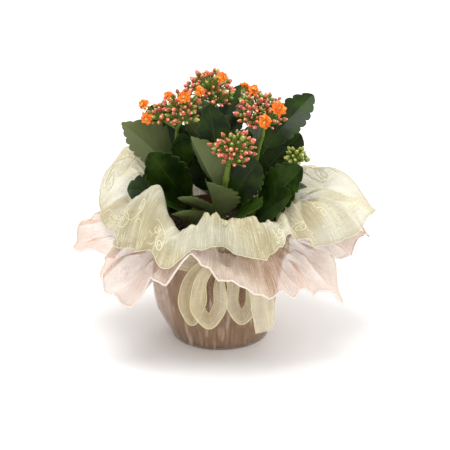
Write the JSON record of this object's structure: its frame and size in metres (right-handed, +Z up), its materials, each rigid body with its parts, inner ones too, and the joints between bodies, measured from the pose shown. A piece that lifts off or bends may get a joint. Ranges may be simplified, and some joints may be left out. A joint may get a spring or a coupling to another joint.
{
  "type": "potted kalanchoe",
  "caption": "Flowering kalanchoe in a plastic florist's pot, wrapped in two sheer organza squares gathered under the rim by a wide ribbon with hanging loops.",
  "frame": {"origin": "middle of the flat underside, where the cloth under the pot's bottom meets the surface it stands on", "axes": "+Z up the plant, -Y towards the front where the ribbon's knot, loops and tails hang, +X to the right seen from the front"},
  "size_m": [0.2938, 0.2305, 0.2688],
  "materials": {
    "pot_plastic": "satin",
    "soil": "matte",
    "cream_organza": "satin",
    "blush_organza": "satin",
    "ivory_ribbon": "satin",
    "foliage": "satin",
    "buds": "satin",
    "petals": "matte"
  },
  "bodies": {
    "root": {"pot": "pot_plastic", "potting_soil": "soil", "wrap_cream": "cream_organza", "wrap_blush": "blush_organza", "ribbon": "ivory_ribbon", "leafy_stem_left": "foliage", "leafy_stem_centre": "foliage", "leafy_stem_front": "foliage", "leafy_stem_right": "foliage", "leafy_stem_back": "foliage", "leafy_stem_side": "foliage", "spray_top": "buds", "spray_left": "buds", "spray_right": "buds", "spray_front": "buds", "spray_back": "buds", "spray_side": "buds", "bloom_top_1": "petals", "bloom_top_2": "petals", "bloom_left_1": "petals", "bloom_left_2": "petals", "bloom_left_3": "petals", "bloom_left_4": "petals", "bloom_left_5": "petals", "bloom_right_1": "petals", "bloom_right_2": "petals", "bloom_right_3": "petals", "bloom_back_1": "petals", "bloom_back_2": "petals", "bloom_back_3": "petals", "bloom_back_4": "petals"}
  },
  "joints": []
}
